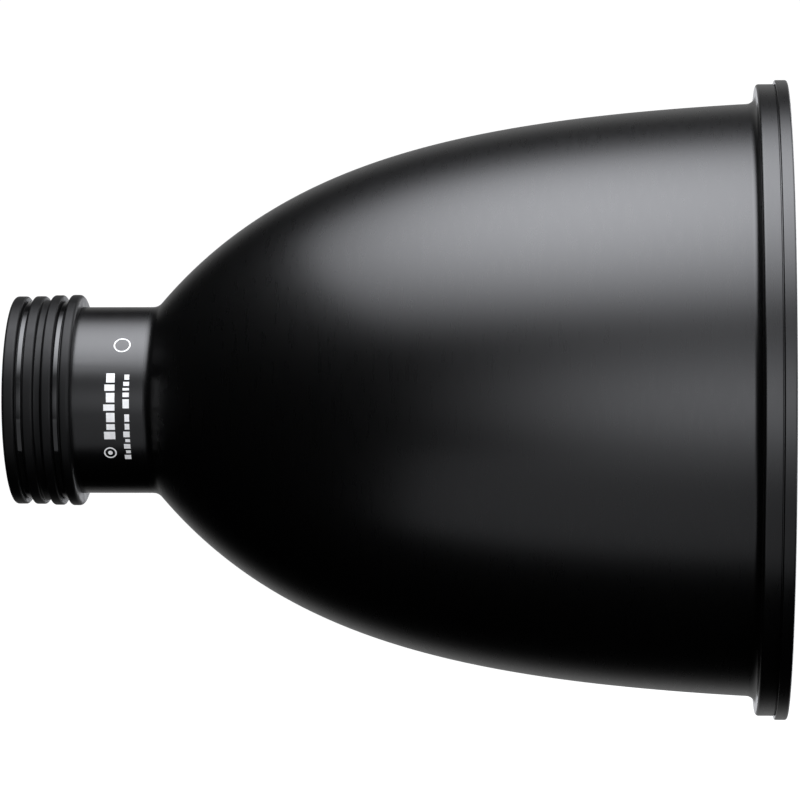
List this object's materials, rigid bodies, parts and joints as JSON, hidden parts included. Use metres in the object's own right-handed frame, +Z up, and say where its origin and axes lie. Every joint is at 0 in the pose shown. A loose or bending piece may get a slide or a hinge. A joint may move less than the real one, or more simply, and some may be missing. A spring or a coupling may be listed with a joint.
{
  "type": "deep zoom reflector",
  "caption": "Deep spun-metal zoom reflector with a folded rim, a short neck tube and a ribbed rubber collar that an over-centre draw latch clamps onto a round flash head.",
  "frame": {"origin": "centre of the collar's rear mouth, where the flash head goes in", "axes": "+X along the optical axis towards the open rim, +Z up, the draw latch on the +Y side"},
  "size_m": [0.4246, 0.35, 0.35],
  "materials": {
    "bowl": "satin black coat",
    "neck": "semi-gloss black coat",
    "collar": "matt",
    "bands": "gloss black coat",
    "latch": "gloss black coat",
    "rivets": "bright",
    "washers": "natural nylon",
    "lever": "gloss black coat",
    "wire": "bright"
  },
  "bodies": {
    "reflector": {"reflector_bowl": "bowl", "neck_tube": "neck", "collar_rubber": "collar", "clamp_band_rear": "bands", "clamp_band_front": "bands", "latch_base": "latch", "base_rivets": "rivets", "keeper_plate": "latch", "keeper_rivets": "rivets", "lever_pin": "rivets", "pin_washers": "washers"},
    "lever": {"clamp_lever": "lever"},
    "bail": {"draw_bail": "wire"}
  },
  "joints": [
    {"name": "lever_open", "type": "hinge", "parent": "reflector", "child": "lever", "pos_m": [0.01945, 0.05991, -0.00842], "axis": [1, 0, 0], "range_deg": [0, 110]},
    {"name": "bail_swing", "type": "hinge", "parent": "lever", "child": "bail", "pos_m": [0.01945, 0.05945, -0.0134], "axis": [1, 0, 0], "range_deg": [-104, 6]}
  ],
  "couplings": [
    {"joint": "bail_swing", "follows": "lever_open", "ratio": -0.88}
  ]
}
